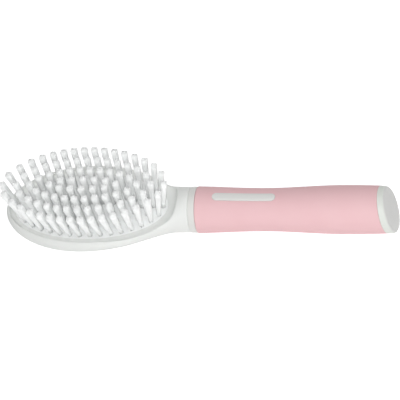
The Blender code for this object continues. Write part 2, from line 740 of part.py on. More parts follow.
def capsule_prism(name, clearance):
    """The inlay's outline, two half circles and two straight sides, run up through the grip's top."""
    radius = 0.5 * INLAY_WIDTH + clearance
    low_z = AXIS_Z + 0.5 * NECK_RADIUS
    high_z = AXIS_Z + 1.5 * NECK_RADIUS
    outline = []
    for centre_x, start in ((INLAY_X[1] - 0.5 * INLAY_WIDTH, -0.5 * math.pi),
                            (INLAY_X[0] + 0.5 * INLAY_WIDTH, 0.5 * math.pi)):
        for step in range(CAPSULE_ARC_STEPS + 1):
            angle = start + math.pi * step / CAPSULE_ARC_STEPS
            outline.append((centre_x + radius * math.cos(angle), radius * math.sin(angle)))
    return skin(name, [[(x, y, z) for x, y in outline] for z in (low_z, high_z)])


def turned_shell(name, start_x, end_x, outer_offset, inner_offset, steps):
    """A tube that follows the grip's outline between two depths under its surface."""
    stations = [blend(start_x, end_x, step / steps) for step in range(steps + 1)]
    outer = [round_ring(x, grip_radius(x) - outer_offset) for x in stations]
    inner = [round_ring(x, grip_radius(x) - inner_offset) for x in reversed(stations)]
    return skin(name, outer + inner, loop=True)


def build_grip_sleeve():
    """Soft sleeve with a rounded front edge, a leaning rear end and the inlay's window."""
    rings = [round_ring(SLEEVE_FRONT_X, grip_radius(SLEEVE_FRONT_X) - SLEEVE_WALL)]
    full_x = SLEEVE_FRONT_X + SLEEVE_ROUNDING
    for angle in rounding_angles():
        rings.append(round_ring(SLEEVE_FRONT_X + SLEEVE_ROUNDING * (1.0 - math.cos(angle)),
                                grip_radius(full_x) - SLEEVE_ROUNDING * (1.0 - math.sin(angle))))
    rear_edge_x = SLEEVE_REAR_X - SLEEVE_REAR_EDGE
    for step in range(1, SLEEVE_STATIONS + 1):
        share = step / SLEEVE_STATIONS
        x = blend(full_x, rear_edge_x, share)
        rings.append(round_ring(x, grip_radius(x), SLEEVE_REAR_TILT * ease(share, SLEEVE_LEAN_START, 1.0)))
    rings.append(round_ring(SLEEVE_REAR_X, grip_radius(SLEEVE_REAR_X) - SLEEVE_REAR_EDGE, SLEEVE_REAR_TILT))
    for step in range(BORE_STATIONS):
        x = blend(SLEEVE_REAR_X, SLEEVE_FRONT_X, step / BORE_STATIONS)
        tilt = SLEEVE_REAR_TILT if step == 0 else 0.0
        rings.append(round_ring(x, grip_radius(x) - SLEEVE_WALL, tilt))
    sleeve = skin("grip_sleeve", rings, loop=True)
    combine(sleeve, capsule_prism("window", GAP), "DIFFERENCE")
    for side in (-1, 1):
        combine(sleeve, build_key(side, GAP), "DIFFERENCE")
    finish_piece(sleeve, PINK_RUBBER)


def build_grip_inlay():
    """Bare capsule in the sleeve's window, held by two pegs in the core."""
    inlay = capsule_prism("grip_inlay", 0.0)
    shell = turned_shell("shell", INLAY_X[0] - INLAY_WIDTH, INLAY_X[1] + INLAY_WIDTH,
                         -INLAY_PROUD, SLEEVE_WALL, INLAY_STATIONS)
    combine(inlay, shell, "INTERSECT")
    for x in inlay_peg_places():
        underside = AXIS_Z + grip_radius(x) - SLEEVE_WALL
        peg = cylinder("peg", (x, 0.0, underside + INLAY_PEG_ROOT), (x, 0.0, underside - INLAY_PEG_LENGTH),
                       INLAY_PEG_RADIUS)
        combine(inlay, peg, "UNION")
    finish_piece(inlay, PALE_INLAY)


def build_end_cap():
    """Slanted end of the handle: a rounded rim and face on a hollow plug with a bead."""
    seam_x = SLEEVE_REAR_X + GAP
    seam_radius = grip_radius(seam_x) - CAP_SHY
    plug = CORE_REAR_BORE - GAP
    plug_end_x = seam_x - PLUG_LENGTH
    bead_x = plug_end_x + PLUG_BEAD_MIDDLE
    inner = plug - PLUG_WALL
    rings = []
    for angle in rounding_angles():
        x = END_FACE_X - END_ROUNDING * (1.0 - math.cos(angle))
        radius = END_RADIUS - END_ROUNDING * (1.0 - math.sin(angle))
        rings.append(round_ring(x, radius, END_FACE_TILT))
    rings.append(round_ring(seam_x + CAP_SEAM_EDGE, seam_radius, SLEEVE_REAR_TILT))
    rings.append(round_ring(seam_x, seam_radius - CAP_SEAM_EDGE, SLEEVE_REAR_TILT))
    rings.append(round_ring(seam_x, plug, SLEEVE_REAR_TILT))
    rings.append(round_ring(bead_x + PLUG_BEAD_SPREAD, plug))
    rings.append(round_ring(bead_x, plug + PLUG_BEAD))
    rings.append(round_ring(bead_x - PLUG_BEAD_SPREAD, plug))
    rings.append(round_ring(plug_end_x, plug - PLUG_LEAD))
    rings.append(round_ring(plug_end_x, inner))
    rings.append(round_ring(END_FACE_X - CAP_FLOOR, inner, END_FACE_TILT))
    cap = skin("end_cap", rings)
    finish_piece(cap, CAP_PLASTIC)


clear_scene()
build_head_shell()
build_bristle_plate()
build_tuft_rings()
build_neck_collar()
build_handle_core()
build_grip_sleeve()
build_grip_inlay()
build_end_cap()
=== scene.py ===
import math
import random

import bmesh
import bpy
from mathutils import Matrix, Vector


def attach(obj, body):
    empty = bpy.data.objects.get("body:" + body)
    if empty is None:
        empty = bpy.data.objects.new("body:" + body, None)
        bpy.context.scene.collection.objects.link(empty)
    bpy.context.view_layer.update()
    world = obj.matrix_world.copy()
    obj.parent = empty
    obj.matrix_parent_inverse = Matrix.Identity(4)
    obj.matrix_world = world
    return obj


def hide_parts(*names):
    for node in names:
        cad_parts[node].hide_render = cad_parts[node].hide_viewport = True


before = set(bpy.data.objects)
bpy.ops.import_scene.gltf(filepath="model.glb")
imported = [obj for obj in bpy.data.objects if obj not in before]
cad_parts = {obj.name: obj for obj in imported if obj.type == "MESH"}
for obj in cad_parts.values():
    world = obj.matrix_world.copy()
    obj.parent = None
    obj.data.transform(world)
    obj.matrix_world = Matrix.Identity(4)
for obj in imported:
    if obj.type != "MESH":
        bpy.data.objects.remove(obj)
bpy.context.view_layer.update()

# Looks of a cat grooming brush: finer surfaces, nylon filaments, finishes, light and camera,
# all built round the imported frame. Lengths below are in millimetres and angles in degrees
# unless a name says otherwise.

MM = 0.001
SEAM = 0.06                  # width of the joints that show between neighbouring pieces

# Handle. Its pieces meet inside the clearances that the frame keeps between them.
AXIS_Z = 13.25               # height of the handle's axis
NECK_RADIUS = 12.55
NECK_END_X = -3.15
COLLAR_FRONT_X = NECK_END_X + SEAM
COLLAR_REAR_X = 0.4
COLLAR_PROUD = 0.15          # the collar stands this far over the neck
COLLAR_EDGE = 0.12
COLLAR_BORE = 8.0
SLEEVE_FRONT_X = COLLAR_REAR_X + SEAM
SLEEVE_FRONT_EDGE = 0.6
SLEEVE_REAR_X = 102.0
SLEEVE_REAR_EDGE = 0.25
SLEEVE_REAR_TILT = 13.2      # the sleeve's rear end leans, top nearer the head
SLEEVE_LEANS_X = 77.0        # from here the sleeve's rings start to lean
SLEEVE_WALL = 2.4
CAP_FRONT_X = SLEEVE_REAR_X + SEAM
CAP_FRONT_EDGE = 0.2
CAP_SHY = 0.05               # the cap starts this far under the sleeve's surface
END_FACE_X = 106.27
END_FACE_TILT = 16.6
END_RADIUS = 12.65
END_ROUNDING = 1.3
FACE_SPLIT = 45.0            # how far round the end's rounding the grey face reaches
FACE_SPLIT_SEAM = 3.0        # and how much further the cap's ring starts
FACE_DEPTH = 1.2             # thickness of the grey face
FACE_SEAM = 0.03             # gap under it
PLUG_RADIUS = 8.9
PLUG_LENGTH = 11.5
# The grip's radius eases from one of these to the next: crest, waist, bulge, tail.
GRIP_KNOTS = ((-6.0, 12.98), (37.5, 11.8), (81.5, 13.25), (118.0, 12.7))
INLAY_X = (10.0, 44.6)
INLAY_HALF_WIDTH = 2.45
INLAY_PROUD = 0.4            # the inlay stands this far over the sleeve
INLAY_CROWN = 1.2            # width of the round along its edge
INLAY_INSETS = (1.6, 2.0, 2.3)   # rings inside that round, from the edge inwards
INLAY_SEAM = 0.07
WINDOW_LIP = 0.15            # round of the sleeve's edge beside the inlay

# Head
HEAD_CENTRE_X = -60.35
HEAD_HALF_LENGTH = 49.35
HEAD_HALF_WIDTH = 28.4
RIM_Z = 15.2                 # height of the head's widest outline
RIM_ROUND = 4.2              # above it the rim is a quarter round of this radius
NECK_SIDE_POWER = 1.92       # the oval narrows a little faster on its way to the neck
BACK_DEPTH = 15.95           # drop of the domed back, pressed flat at z = 0
BACK_FULLNESS = 2.3          # superellipse power of the back seen from the side
BACK_LEAN = 0.42             # how much the section under the rim is drawn in towards a keel
# Shares of the half length between which the keel comes in, and between which it fades again.
KEEL_IN = (-0.7, 0.35)
KEEL_OUT = (0.6, 1.05)
OUTLINE_BLEND = 2.4          # how softly the oval runs into the neck
NECK_FLARE = 0.7             # extra half width of the neck where it leaves the oval
SHOULDER_START_X = -20.0     # the top surface climbs from the rim to the neck
SHOULDER_END_X = -4.5
WIDEST_SINKS_X = -30.7       # from here the widest outline sinks to the handle's axis
FIELD_HALF_LENGTH = 44.12    # the pad's own oval
FIELD_HALF_WIDTH = 21.82
FIELD_Z = 16.5               # face that the tufts stand on
FIELD_SEAM = 0.03            # gap round the pad
PAD_BOTTOM_Z = 12.0
PAD_EDGE = 0.05
SCOOP_HEIGHT = 6.0           # the hollow curve round the bristle field
SCOOP_NECK = 6.0             # how far it spreads at the neck, the tip and the sides
SCOOP_TIP = 3.0
SCOOP_SIDE = 3.5
SCOOP_STEEPNESS = 3.0        # power that keeps it low and then steep at the tip and the sides
SCOOP_BLUNT = 0.5            # added to the power of its oval on the neck's side
TOP_Z = AXIS_Z + 20.0        # above every surface of the head

# Tufts. Each ring, from outside in: half length, half width, number of tufts, power of its oval.
RINGS = (("tuft_ring_outer", 41.6, 19.5, 34, 2.0),
         ("tuft_ring_second", 35.8, 13.85, 28, 1.95),
         ("tuft_ring_third", 29.3, 8.2, 22, 1.8),
         ("tuft_ring_inner", 18.7, 2.7, 12, 2.0))
TUFT_LENGTH = 22.0
FAN = 11.4                   # lean of the outermost tufts, to the sides and the neck
FAN_TIP = 12.5               # and at the head's tip
# Lengthwise, only the tufts near the ends lean much: powers of the lean towards the neck and the tip.
FAN_NECK_POWER = 3
FAN_TIP_POWER = 5
TUFT_RADIUS_ROOT = 1.05
TUFT_RADIUS_TIP = 1.52
TUFT_TIP_POWER = 8.0         # the round bundle ends squarish
TUFT_ROOT_DEPTH = 0.15       # the filaments start this far down their hole
TUFT_SEED = 11
TIP_RAGGEDNESS = 0.2
# Circles of filaments in a tuft: how many, and how far out as a share of the tuft's radius.
FILAMENT_CIRCLES = ((24, 1.0), (16, 0.7), (8, 0.38), (1, 0.0))
FILAMENT_RADIUS = 0.235
FILAMENT_SIDES = 5
FILAMENT_STEPS = 5
FILAMENT_BOW = 0.3           # share of a filament's flare that comes as a curve
FILAMENT_END = 0.15          # height of its rounded end
FILAMENT_END_SHARE = 0.6     # share of its radius that is left at the very end
FILAMENT_STRAY = 0.12        # how far its tip wanders
FILAMENT_TURN = 0.2          # how far it slips along its circle, as a share of the spacing
CORE_SHARE = 1.1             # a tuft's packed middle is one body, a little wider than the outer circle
CORE_SHY = 0.12              # that ends this far under the filaments' mean tip
CORE_SIDES = 16
CORE_STEPS = 6
HOLE_RADIUS = 1.29
HOLE_CHAMFER = 0.03
HOLE_SPARE = 0.1             # depth left under the filaments
HOLE_SIDES = 16
OUTLINE_SAMPLES = 720        # points used to measure along a ring of tufts

# Fineness of the meshes
ROUND_SIDES = 144
OVAL_SIDES = 160
HEAD_SECTION_SIDES = 120
HEAD_OVAL_STEPS = 90
HEAD_OVAL_TURN = 0.72        # share of the oval's half turn that these close sections cover
HEAD_NECK_STEPS = 50
HEAD_VOXEL = 0.45
HEAD_SMOOTHING = 12
SCOOP_STEPS = 16
WINDOW_COLUMNS = 12          # columns of the sleeve's grid on each side of the window's middle
WINDOW_MARGIN = 4.0          # patch of fitted mesh round the window
WINDOW_STATIONS = 40
WINDOW_SPANS = 7
WINDOW_CROWDING = 1.4        # power that draws the patch's rings towards the window

# Light: places and sizes in metres and power in watts
WORLD_STRENGTH = 0.34
FLOOR_SIZE = 6.0
FLOOR_DROP = 0.0002
FLOOR_GLOW = 0.62
LIGHT_TARGET = (0.0, 0.0, 0.01)
KEY_PLACE = (0.188, -0.487, 0.695)
KEY_SIZE = 0.06
KEY_POWER = 3.05
BACK_PLACE = (-0.03, 0.22, 1.15)
BACK_SIZE = 0.4
BACK_POWER = 1.5
FILL_PLACE = (0.05, -0.95, 0.14)
FILL_SIZE = 0.3
FILL_POWER = 1.4
END_LIGHT_PLACE = (0.9, -0.35, 0.35)
END_LIGHT_SIZE = 0.4
END_LIGHT_POWER = 0.6
REAR_PLACE = (-0.2, 0.95, 0.3)
REAR_SIZE = 0.5
REAR_POWER = 0.4

# Camera, fitted to the photograph's outlines
VIEW_AZIMUTH = 12.063
VIEW_ELEVATION = 54.401
VIEW_ROLL = -0.147
VIEW_DISTANCE = 767.555
VIEW_TARGET = (13.41, 0.0, 13.25)
VIEW_OFFSET = (-11.855, 5.309)
LENS = 125.94
SENSOR_WIDTH = 36.0


def blend(first, second, share):
    """The value this share of the way from the first to the second."""
    return first + (second - first) * share


def ease(value, start, end):
    """Smooth step from 0 at start to 1 at end."""
    step = min(max((value - start) / (end - start), 0.0), 1.0)
    return step * step * (3.0 - 2.0 * step)


# Materials


def new_material(name, colour, roughness):
    """A material and its Principled shader."""
    material = bpy.data.materials.new(name)
    material.use_nodes = True
    shader = material.node_tree.nodes["Principled BSDF"]
    shader.inputs["Base Color"].default_value = (*colour, 1.0)
    shader.inputs["Roughness"].default_value = roughness
    return material, shader


def add_node(material, kind, **values):
    """A shader node with its inputs set, where a keyword's underscores stand for spaces."""
    node = material.node_tree.nodes.new(kind)
    for name, value in values.items():
        node.inputs[name.replace("_", " ")].default_value = value
    return node


def noise_field(material, feature, detail=2.0, stretch=(1.0, 1.0, 1.0)):
    """Noise over the object whose features are about this many millimetres wide."""
    links = material.node_tree.links
    place = add_node(material, "ShaderNodeTexCoord")
    mapping = add_node(material, "ShaderNodeMapping")
    mapping.inputs["Scale"].default_value = stretch
    noise = add_node(material, "ShaderNodeTexNoise", Scale=1.0 / (feature * MM), Detail=detail)
    links.new(place.outputs["Object"], mapping.inputs["Vector"])
    links.new(mapping.outputs["Vector"], noise.inputs["Vector"])
    return noise.outputs["Fac"]


def spread(material, field, low, high):
    """Map the middle of a noise field onto low to high."""
    noise_low = 0.3
    noise_high = 0.7
    node = add_node(material, "ShaderNodeMapRange", From_Min=noise_low, From_Max=noise_high,
                    To_Min=low, To_Max=high)
    material.node_tree.links.new(field, node.inputs["Value"])
    return node.outputs["Result"]


def vary_colour(material, shader, field, first, second):
    """Drift the base colour between two near shades."""
    mix = material.node_tree.nodes.new("ShaderNodeMix")
    mix.data_type = "RGBA"
    colours = [socket for socket in mix.inputs if socket.type == "RGBA"]
    colours[0].default_value = (*first, 1.0)
    colours[1].default_value = (*second, 1.0)
    result = [socket for socket in mix.outputs if socket.type == "RGBA"][0]
    material.node_tree.links.new(spread(material, field, 0.0, 1.0), mix.inputs["Factor"])
    material.node_tree.links.new(result, shader.inputs["Base Color"])


def add_bump(material, shader, layers):
    """Fine relief from (field, depth in millimetres) layers, each on top of the one before."""
    links = material.node_tree.links
    below = None
    for field, depth in layers:
        bump = add_node(material, "ShaderNodeBump", Strength=1.0, Distance=depth * MM)
        links.new(field, bump.inputs["Height"])
        if below is not None:
            links.new(below.outputs["Normal"], bump.inputs["Normal"])
        below = bump
    links.new(below.outputs["Normal"], shader.inputs["Normal"])


def moulded_plastic(name, colour, roughness, grain=0.004):
    """Injection-moulded plastic: faint flow mottling, uneven gloss and a trace of orange peel."""
    drift = 0.985
    mottle_width = 9.0
    gloss_width = 1.6
    peel_width = 2.2
    grain_width = 0.35
    glossiest = 0.9 * roughness
    dullest = 1.12 * roughness
    material, shader = new_material(name, colour, roughness)
    deeper = [channel * drift for channel in colour]
    mottle = noise_field(material, mottle_width, detail=3.0, stretch=(0.5, 1.0, 1.0))
    vary_colour(material, shader, mottle, colour, deeper)
    gloss = noise_field(material, gloss_width, detail=4.0)
    material.node_tree.links.new(spread(material, gloss, glossiest, dullest), shader.inputs["Roughness"])
    relief = ((noise_field(material, peel_width), grain), (noise_field(material, grain_width), 0.5 * grain))
    add_bump(material, shader, relief)
    shader.inputs["IOR"].default_value = 1.49
    shader.inputs["Specular IOR Level"].default_value = 0.3
    return material


def soft_touch(name, colour):
    """Matte elastomer: fine grain, slightly uneven gloss and a slow drift of shade."""
    drift = (0.985, 0.965, 0.97)
    drift_width = 14.0
    gloss_width = 2.5
    pebble_width = 0.9
    pebble_depth = 0.008
    grain_width = 0.22
    grain_depth = 0.010
    roughness = 0.6
    glossiest = 0.54
    dullest = 0.66
    material, shader = new_material(name, colour, roughness)
    deeper = [channel * share for channel, share in zip(colour, drift)]
    vary_colour(material, shader, noise_field(material, drift_width, detail=3.0), colour, deeper)
    uneven = noise_field(material, gloss_width, detail=5.0)
    material.node_tree.links.new(spread(material, uneven, glossiest, dullest), shader.inputs["Roughness"])
    add_bump(material, shader, ((noise_field(material, pebble_width, detail=3.0), pebble_depth),
                                (noise_field(material, grain_width, detail=2.0), grain_depth)))
    shader.inputs["Specular IOR Level"].default_value = 0.25
    return material


def milky_nylon(name, colour):
    """Milky nylon filament, with fine draw lines along its length."""
    roughness = 0.6
    drift = 0.985
    cloud_width = 3.0
    line_width = 0.12
    line_depth = 0.006
    material, shader = new_material(name, colour, roughness)
    cloudy = noise_field(material, cloud_width, detail=2.0)
    vary_colour(material, shader, cloudy, colour, [channel * drift for channel in colour])
    lines = noise_field(material, line_width, detail=2.0, stretch=(1.0, 1.0, 0.06))
    add_bump(material, shader, ((lines, line_depth),))
    shader.inputs["IOR"].default_value = 1.53
    return material


head_white = moulded_plastic("white_moulded_plastic", (0.81, 0.825, 0.805), 0.55)
pad_white = moulded_plastic("pad_plastic", (0.945, 0.96, 0.955), 0.45)
collar_white = moulded_plastic("collar_plastic", (0.74, 0.74, 0.716), 0.4)
inlay_grey = moulded_plastic("inlay_plastic", (0.745, 0.75, 0.73), 0.42, grain=0.006)
cap_green = moulded_plastic("cap_plastic", (0.735, 0.765, 0.72), 0.42)
face_grey = moulded_plastic("face_plastic", (0.73, 0.73, 0.715), 0.45)
core_grey = moulded_plastic("core_plastic", (0.68, 0.68, 0.66), 0.5)
pink_rubber = soft_touch("pink_soft_touch", (0.832, 0.546, 0.568))
nylon = milky_nylon("nylon_filament", (0.985, 0.997, 0.992))


# Shapes shared by several pieces


def superellipse(half_width, half_height, angle, power=2.0):
    """One point of an oval that gets squarer as power rises above 2, and leaner below it."""
    across = math.cos(angle)
    rise = math.sin(angle)
    reach = (abs(across) ** power + abs(rise) ** power) ** (-1.0 / power)
    return half_width * reach * across, half_height * reach * rise


def oval_ring(half_length, half_width, z):
    """A level oval round the middle of the head."""
    ring = []
    for index in range(OVAL_SIDES):
        along, across = superellipse(half_length, half_width, 2.0 * math.pi * index / OVAL_SIDES)
        ring.append((HEAD_CENTRE_X + along, across, z))
    return ring


def round_ring(x, radius, tilt=0.0):
    """A circle round the handle's axis. Tilt leans its plane, top nearer the head."""
    lean = math.tan(math.radians(tilt))
    ring = []
    for index in range(ROUND_SIDES):
        angle = 2.0 * math.pi * index / ROUND_SIDES
        across = radius * math.sin(angle)
        rise = radius * math.cos(angle)
        ring.append((x - rise * lean, across, AXIS_Z + rise))
    return ring


def arc_steps(count):
    """Angles from 0 to a quarter turn."""
    return [0.5 * math.pi * step / count for step in range(count + 1)]


def grip_radius(x):
    """The grip's radius: a cosine from each knot to the next."""
    for (start, radius_a), (end, radius_b) in zip(GRIP_KNOTS, GRIP_KNOTS[1:]):
        if x <= end:
            share = 0.5 - 0.5 * math.cos(math.pi * (x - start) / (end - start))
            return blend(radius_a, radius_b, share)
    return GRIP_KNOTS[-1][1]


def add_ring(edit, ring):
    """The ring's points as new vertices, in metres."""
    return [edit.verts.new([value * MM for value in point]) for point in ring]


def bridge(edit, first, second):
    """Quads between two rings of as many vertices."""
    count = len(first)
    for index in range(count):
        following = (index + 1) % count
        edit.faces.new((first[index], first[following], second[following], second[index]))


def loft(edit, rings, close=False):
    """Bridge rings in turn, then join the last to the first or cap both ends."""
    made = [add_ring(edit, ring) for ring in rings]
    for first, second in zip(made, made[1:]):
        bridge(edit, first, second)
    if close:
        bridge(edit, made[-1], made[0])
    else:
        edit.faces.new(made[0])
        edit.faces.new(made[-1])


def to_object(edit, name):
    """Close a bmesh into a smooth-shaded object with its faces outwards."""
    bmesh.ops.recalc_face_normals(edit, faces=edit.faces)
    mesh = bpy.data.meshes.new(name)
    edit.to_mesh(mesh)
    edit.free()
    mesh.shade_smooth()
    made = bpy.data.objects.new(name, mesh)
    bpy.context.scene.collection.objects.link(made)
    return made


def settle(piece):
    """Turn the piece's modifiers into its own mesh."""
    evaluated = piece.evaluated_get(bpy.context.evaluated_depsgraph_get())
    mesh = bpy.data.meshes.new_from_object(evaluated)
    piece.modifiers.clear()
    piece.data = mesh


def dress(piece, material, slot, *nodes, sharp=None):
    """Give a piece its finish and let it stand for its CAD nodes."""
    piece.data.materials.clear()
    piece.data.materials.append(material)
    if sharp is not None:
        piece.data.set_sharp_from_angle(angle=math.radians(sharp))
    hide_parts(*nodes)
    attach(piece, "root")


# Head


def half_width_at(x):
    """Half the head's width at this place along it."""
    reach = (x - HEAD_CENTRE_X) / HEAD_HALF_LENGTH
    if reach < 0.0:
        return HEAD_HALF_WIDTH * math.sqrt(max(0.0, 1.0 - reach * reach))
    left_over = max(0.0, 1.0 - reach ** NECK_SIDE_POWER)
    neck_width = NECK_RADIUS + NECK_FLARE * (1.0 - ease(x, SHOULDER_START_X, NECK_END_X))
    excess = (HEAD_HALF_WIDTH * left_over ** (1.0 / NECK_SIDE_POWER) - neck_width) / OUTLINE_BLEND
    return neck_width + OUTLINE_BLEND * math.log1p(math.exp(excess))


def rim_share(x, y):
    """Height of the rounded rim above a point of the head's plan, from 0 at the outline to 1."""
    reach = (x - HEAD_CENTRE_X) / HEAD_HALF_LENGTH
    if reach < 0.0:
        across = y / HEAD_HALF_WIDTH
        outward = math.hypot(reach, across)
        steepness = math.hypot(reach / HEAD_HALF_LENGTH, across / HEAD_HALF_WIDTH)
        inward = (1.0 - outward) * outward / steepness
    else:
        slope = half_width_at(x + 0.5) - half_width_at(x - 0.5)
        inward = (half_width_at(x) - abs(y)) / math.hypot(1.0, slope)
    missing = 1.0 - min(max(inward / RIM_ROUND, 0.0), 1.0)
    return math.sqrt(1.0 - missing * missing)


def head_section(x):
    """One section of the head and neck across X, as a ring of points."""
    reach = (x - HEAD_CENTRE_X) / HEAD_HALF_LENGTH
    half_width = half_width_at(x)
    depth = BACK_DEPTH
    if reach < 0.0:
        depth *= max(0.0, 1.0 - abs(reach) ** BACK_FULLNESS) ** (1.0 / BACK_FULLNESS)
    shoulder = ease(x, SHOULDER_START_X, SHOULDER_END_X)
    widest_z = blend(RIM_Z, AXIS_Z, ease(x, WIDEST_SINKS_X, SHOULDER_END_X))
    top_z = blend(RIM_Z + RIM_ROUND, AXIS_Z + NECK_RADIUS, shoulder)
    bottom_z = blend(RIM_Z - depth, AXIS_Z - NECK_RADIUS, ease(x, HEAD_CENTRE_X, SHOULDER_START_X))
    lower_power = 2.0 - BACK_LEAN * ease(reach, *KEEL_IN) * (1.0 - ease(reach, *KEEL_OUT))
    ring = []
    for index in range(HEAD_SECTION_SIDES):
        angle = 2.0 * math.pi * index / HEAD_SECTION_SIDES
        if 2 * index < HEAD_SECTION_SIDES:
            y = half_width * math.cos(angle)
            rise = (top_z - widest_z) * blend(rim_share(x, y), math.sin(angle), shoulder)
        else:
            y, rise = superellipse(half_width, widest_z - bottom_z, angle, lower_power)
        ring.append((x, y, max(widest_z + rise, 0.0)))
    return ring


def head_outer():
    """The head and neck before the dish is hollowed out."""
    edit = bmesh.new()
    tip = edit.verts.new(((HEAD_CENTRE_X - HEAD_HALF_LENGTH) * MM, 0.0, RIM_Z * MM))
    stations = []
    for step in range(1, HEAD_OVAL_STEPS + 1):
        angle = HEAD_OVAL_TURN * math.pi * step / HEAD_OVAL_STEPS
        stations.append(HEAD_CENTRE_X - HEAD_HALF_LENGTH * math.cos(angle))
    last_x = stations[-1]
    for step in range(1, HEAD_NECK_STEPS + 1):
        stations.append(blend(last_x, NECK_END_X, step / HEAD_NECK_STEPS))
    rings = [add_ring(edit, head_section(x)) for x in stations]
    for index in range(HEAD_SECTION_SIDES):
        following = (index + 1) % HEAD_SECTION_SIDES
        edit.faces.new((tip, rings[0][index], rings[0][following]))
    for first, second in zip(rings, rings[1:]):
        bridge(edit, first, second)
    edit.faces.new(rings[-1])
    return to_object(edit, "head")


def carve(piece, name, rings):
    """Cut a lofted hollow out of a piece."""
    edit = bmesh.new()
    loft(edit, rings)
    cutter = to_object(edit, name)
    hollow = piece.modifiers.new(name, "BOOLEAN")
    hollow.operation = "DIFFERENCE"
    hollow.object = cutter
    settle(piece)
    bpy.data.objects.remove(cutter, do_unlink=True)


def scoop_ring(share, z):
    """One level of the hollow curve round the field, where it has spread this share of its way."""
    quick = 1.0 - (1.0 - share) ** SCOOP_STEEPNESS
    neck_reach = SCOOP_NECK * share
    tip_reach = SCOOP_TIP * quick
    middle_x = HEAD_CENTRE_X + 0.5 * (neck_reach - tip_reach)
    half_length = FIELD_HALF_LENGTH + 0.5 * (neck_reach + tip_reach)
    half_width = FIELD_HALF_WIDTH + SCOOP_SIDE * quick
    ring = []
    for index in range(OVAL_SIDES):
        angle = 2.0 * math.pi * index / OVAL_SIDES
        power = 2.0 + SCOOP_BLUNT * share if math.cos(angle) > 0.0 else 2.0
        along, across = superellipse(half_length, half_width, angle, power)
        ring.append((middle_x + along, across, z))
    return ring


def soften(piece):
    """Even out a piece's mesh, which also rounds its edges by about a millimetre."""
    remesh = piece.modifiers.new("Remesh", "REMESH")
    remesh.mode = "VOXEL"
    remesh.voxel_size = HEAD_VOXEL * MM
    remesh.use_smooth_shade = True
    smooth = piece.modifiers.new("Smooth", "SMOOTH")
    smooth.factor = 0.5
    smooth.iterations = HEAD_SMOOTHING
    settle(piece)


def build_head():
    """The paddle: its hollow curve is softened with the rest, and the pad's seat stays crisp."""
    head = head_outer()
    scoop = [scoop_ring(math.sin(angle), FIELD_Z + SCOOP_HEIGHT * (1.0 - math.cos(angle)))
             for angle in arc_steps(SCOOP_STEPS)]
    carve(head, "scoop", [*scoop, scoop_ring(1.0, TOP_Z)])
    soften(head)
    seat_length = FIELD_HALF_LENGTH + FIELD_SEAM
    seat_width = FIELD_HALF_WIDTH + FIELD_SEAM
    seat_z = PAD_BOTTOM_Z - FIELD_SEAM
    carve(head, "seat", [oval_ring(seat_length, seat_width, z) for z in (seat_z, TOP_Z)])
    dress(head, head_white, "head_plastic", "head_shell", sharp=40.0)


# Bristle field


def ring_places(half_length, half_width, count, power):
    """Evenly spaced offsets along an oval, the first at the end nearest the handle."""
    outline = [superellipse(half_length, half_width, 2.0 * math.pi * index / OUTLINE_SAMPLES, power)
               for index in range(OUTLINE_SAMPLES + 1)]
    lengths = [0.0]
    for start, end in zip(outline, outline[1:]):
        lengths.append(lengths[-1] + math.dist(start, end))
    places = []
    index = 0
    for tuft in range(count):
        target = lengths[-1] * tuft / count
        while lengths[index + 1] < target:
            index += 1
        share = (target - lengths[index]) / (lengths[index + 1] - lengths[index])
        places.append([blend(a, b, share) for a, b in zip(outline[index], outline[index + 1])])
    return places


def tuft_direction(along, across):
    """The way a tuft points: straight up in the middle, fanned outwards towards the rim."""
    _, half_length, half_width, _, _ = RINGS[0]
    fan_along, power = (FAN, FAN_NECK_POWER) if along > 0.0 else (FAN_TIP, FAN_TIP_POWER)
    slope_x = math.tan(math.radians(fan_along * (along / half_length) ** power))
    slope_y = math.tan(math.radians(FAN * across / half_width))
    return Vector((slope_x, slope_y, 1.0)).normalized()


def add_filament(edit, root, tip, bow):
    """One closed nylon filament from root to tip, bowed sideways and rounded at its end."""
    travel = tip - root
    along = travel.normalized()
    side_a = along.cross(Vector((0.0, 1.0, 0.0))).normalized()
    side_b = along.cross(side_a)
    last_share = 1.0 - FILAMENT_END / travel.length
    stations = [(last_share * step / FILAMENT_STEPS, FILAMENT_RADIUS) for step in range(FILAMENT_STEPS + 1)]
    stations.append((1.0, FILAMENT_END_SHARE * FILAMENT_RADIUS))
    rings = []
    for share, radius in stations:
        centre = root + travel * share + bow * (share * share)
        ring = []
        for side in range(FILAMENT_SIDES):
            angle = 2.0 * math.pi * side / FILAMENT_SIDES
            ring.append(centre + side_a * radius * math.cos(angle) + side_b * radius * math.sin(angle))
        rings.append(ring)
    loft(edit, rings)


def add_core(edit, foot, lean, side_a, side_b):
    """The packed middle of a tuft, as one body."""
    rings = []
    for step in range(CORE_STEPS + 1):
        share = step / CORE_STEPS
        centre = foot + lean * blend(-TUFT_ROOT_DEPTH, TUFT_LENGTH - CORE_SHY, share)
        widening = blend(share, share * share, FILAMENT_BOW)
        flare = CORE_SHARE * blend(TUFT_RADIUS_ROOT, TUFT_RADIUS_TIP, widening)
        power = blend(2.0, TUFT_TIP_POWER, share)
        ring = []
        for side in range(CORE_SIDES):
            out_a, out_b = superellipse(flare, flare, 2.0 * math.pi * side / CORE_SIDES, power)
            ring.append(centre + side_a * out_a + side_b * out_b)
        rings.append(ring)
    loft(edit, rings)


